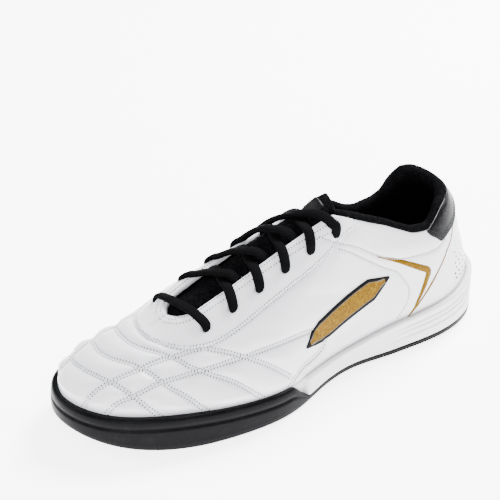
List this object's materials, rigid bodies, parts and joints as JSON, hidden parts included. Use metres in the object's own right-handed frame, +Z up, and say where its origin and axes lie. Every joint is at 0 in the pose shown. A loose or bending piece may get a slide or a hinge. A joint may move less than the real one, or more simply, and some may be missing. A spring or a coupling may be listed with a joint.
{
  "type": "indoor soccer shoe",
  "caption": "Low indoor soccer shoe for the left foot: white leather upper with slanted gold side bars, black collar, tongue and lace, white wedge midsole, black rubber sole with a toe band.",
  "frame": {"origin": "on the floor, under the middle of the sole's length and width", "axes": "metres; +Z up from the floor the shoe stands on; the toe points to -Y and the heel to +Y; the lateral (outer) side is +X"},
  "size_m": [0.1028, 0.2878, 0.1064],
  "materials": {
    "white_leather": "soft pearl-white leather with a light grain and a satin sheen",
    "white_foam": "moulded white foam with a faint pink tint, satin",
    "black_rubber": "black gum rubber, lightly polished on the toe band",
    "black_textile": "black padded mesh and knit, matt",
    "black_lace": "flat woven black lace, matt",
    "black_gloss": "black coated patch, glossy",
    "gold_foil": "gold foil print with a soft metallic sheen"
  },
  "bodies": {
    "root": {"outsole": "black_rubber", "midsole": "white_foam", "insole": "black_textile", "upper": "white_leather", "lace_facing": "white_leather", "collar_cuff": "black_textile", "heel_tab": "black_gloss", "tongue": "black_textile", "lace_bar_1": "black_lace", "lace_cross_2": "black_lace", "lace_cross_3": "black_lace", "lace_cross_4": "black_lace", "lace_cross_5": "black_lace", "side_flash_lateral": "gold_foil", "side_flash_medial": "gold_foil"}
  },
  "joints": []
}
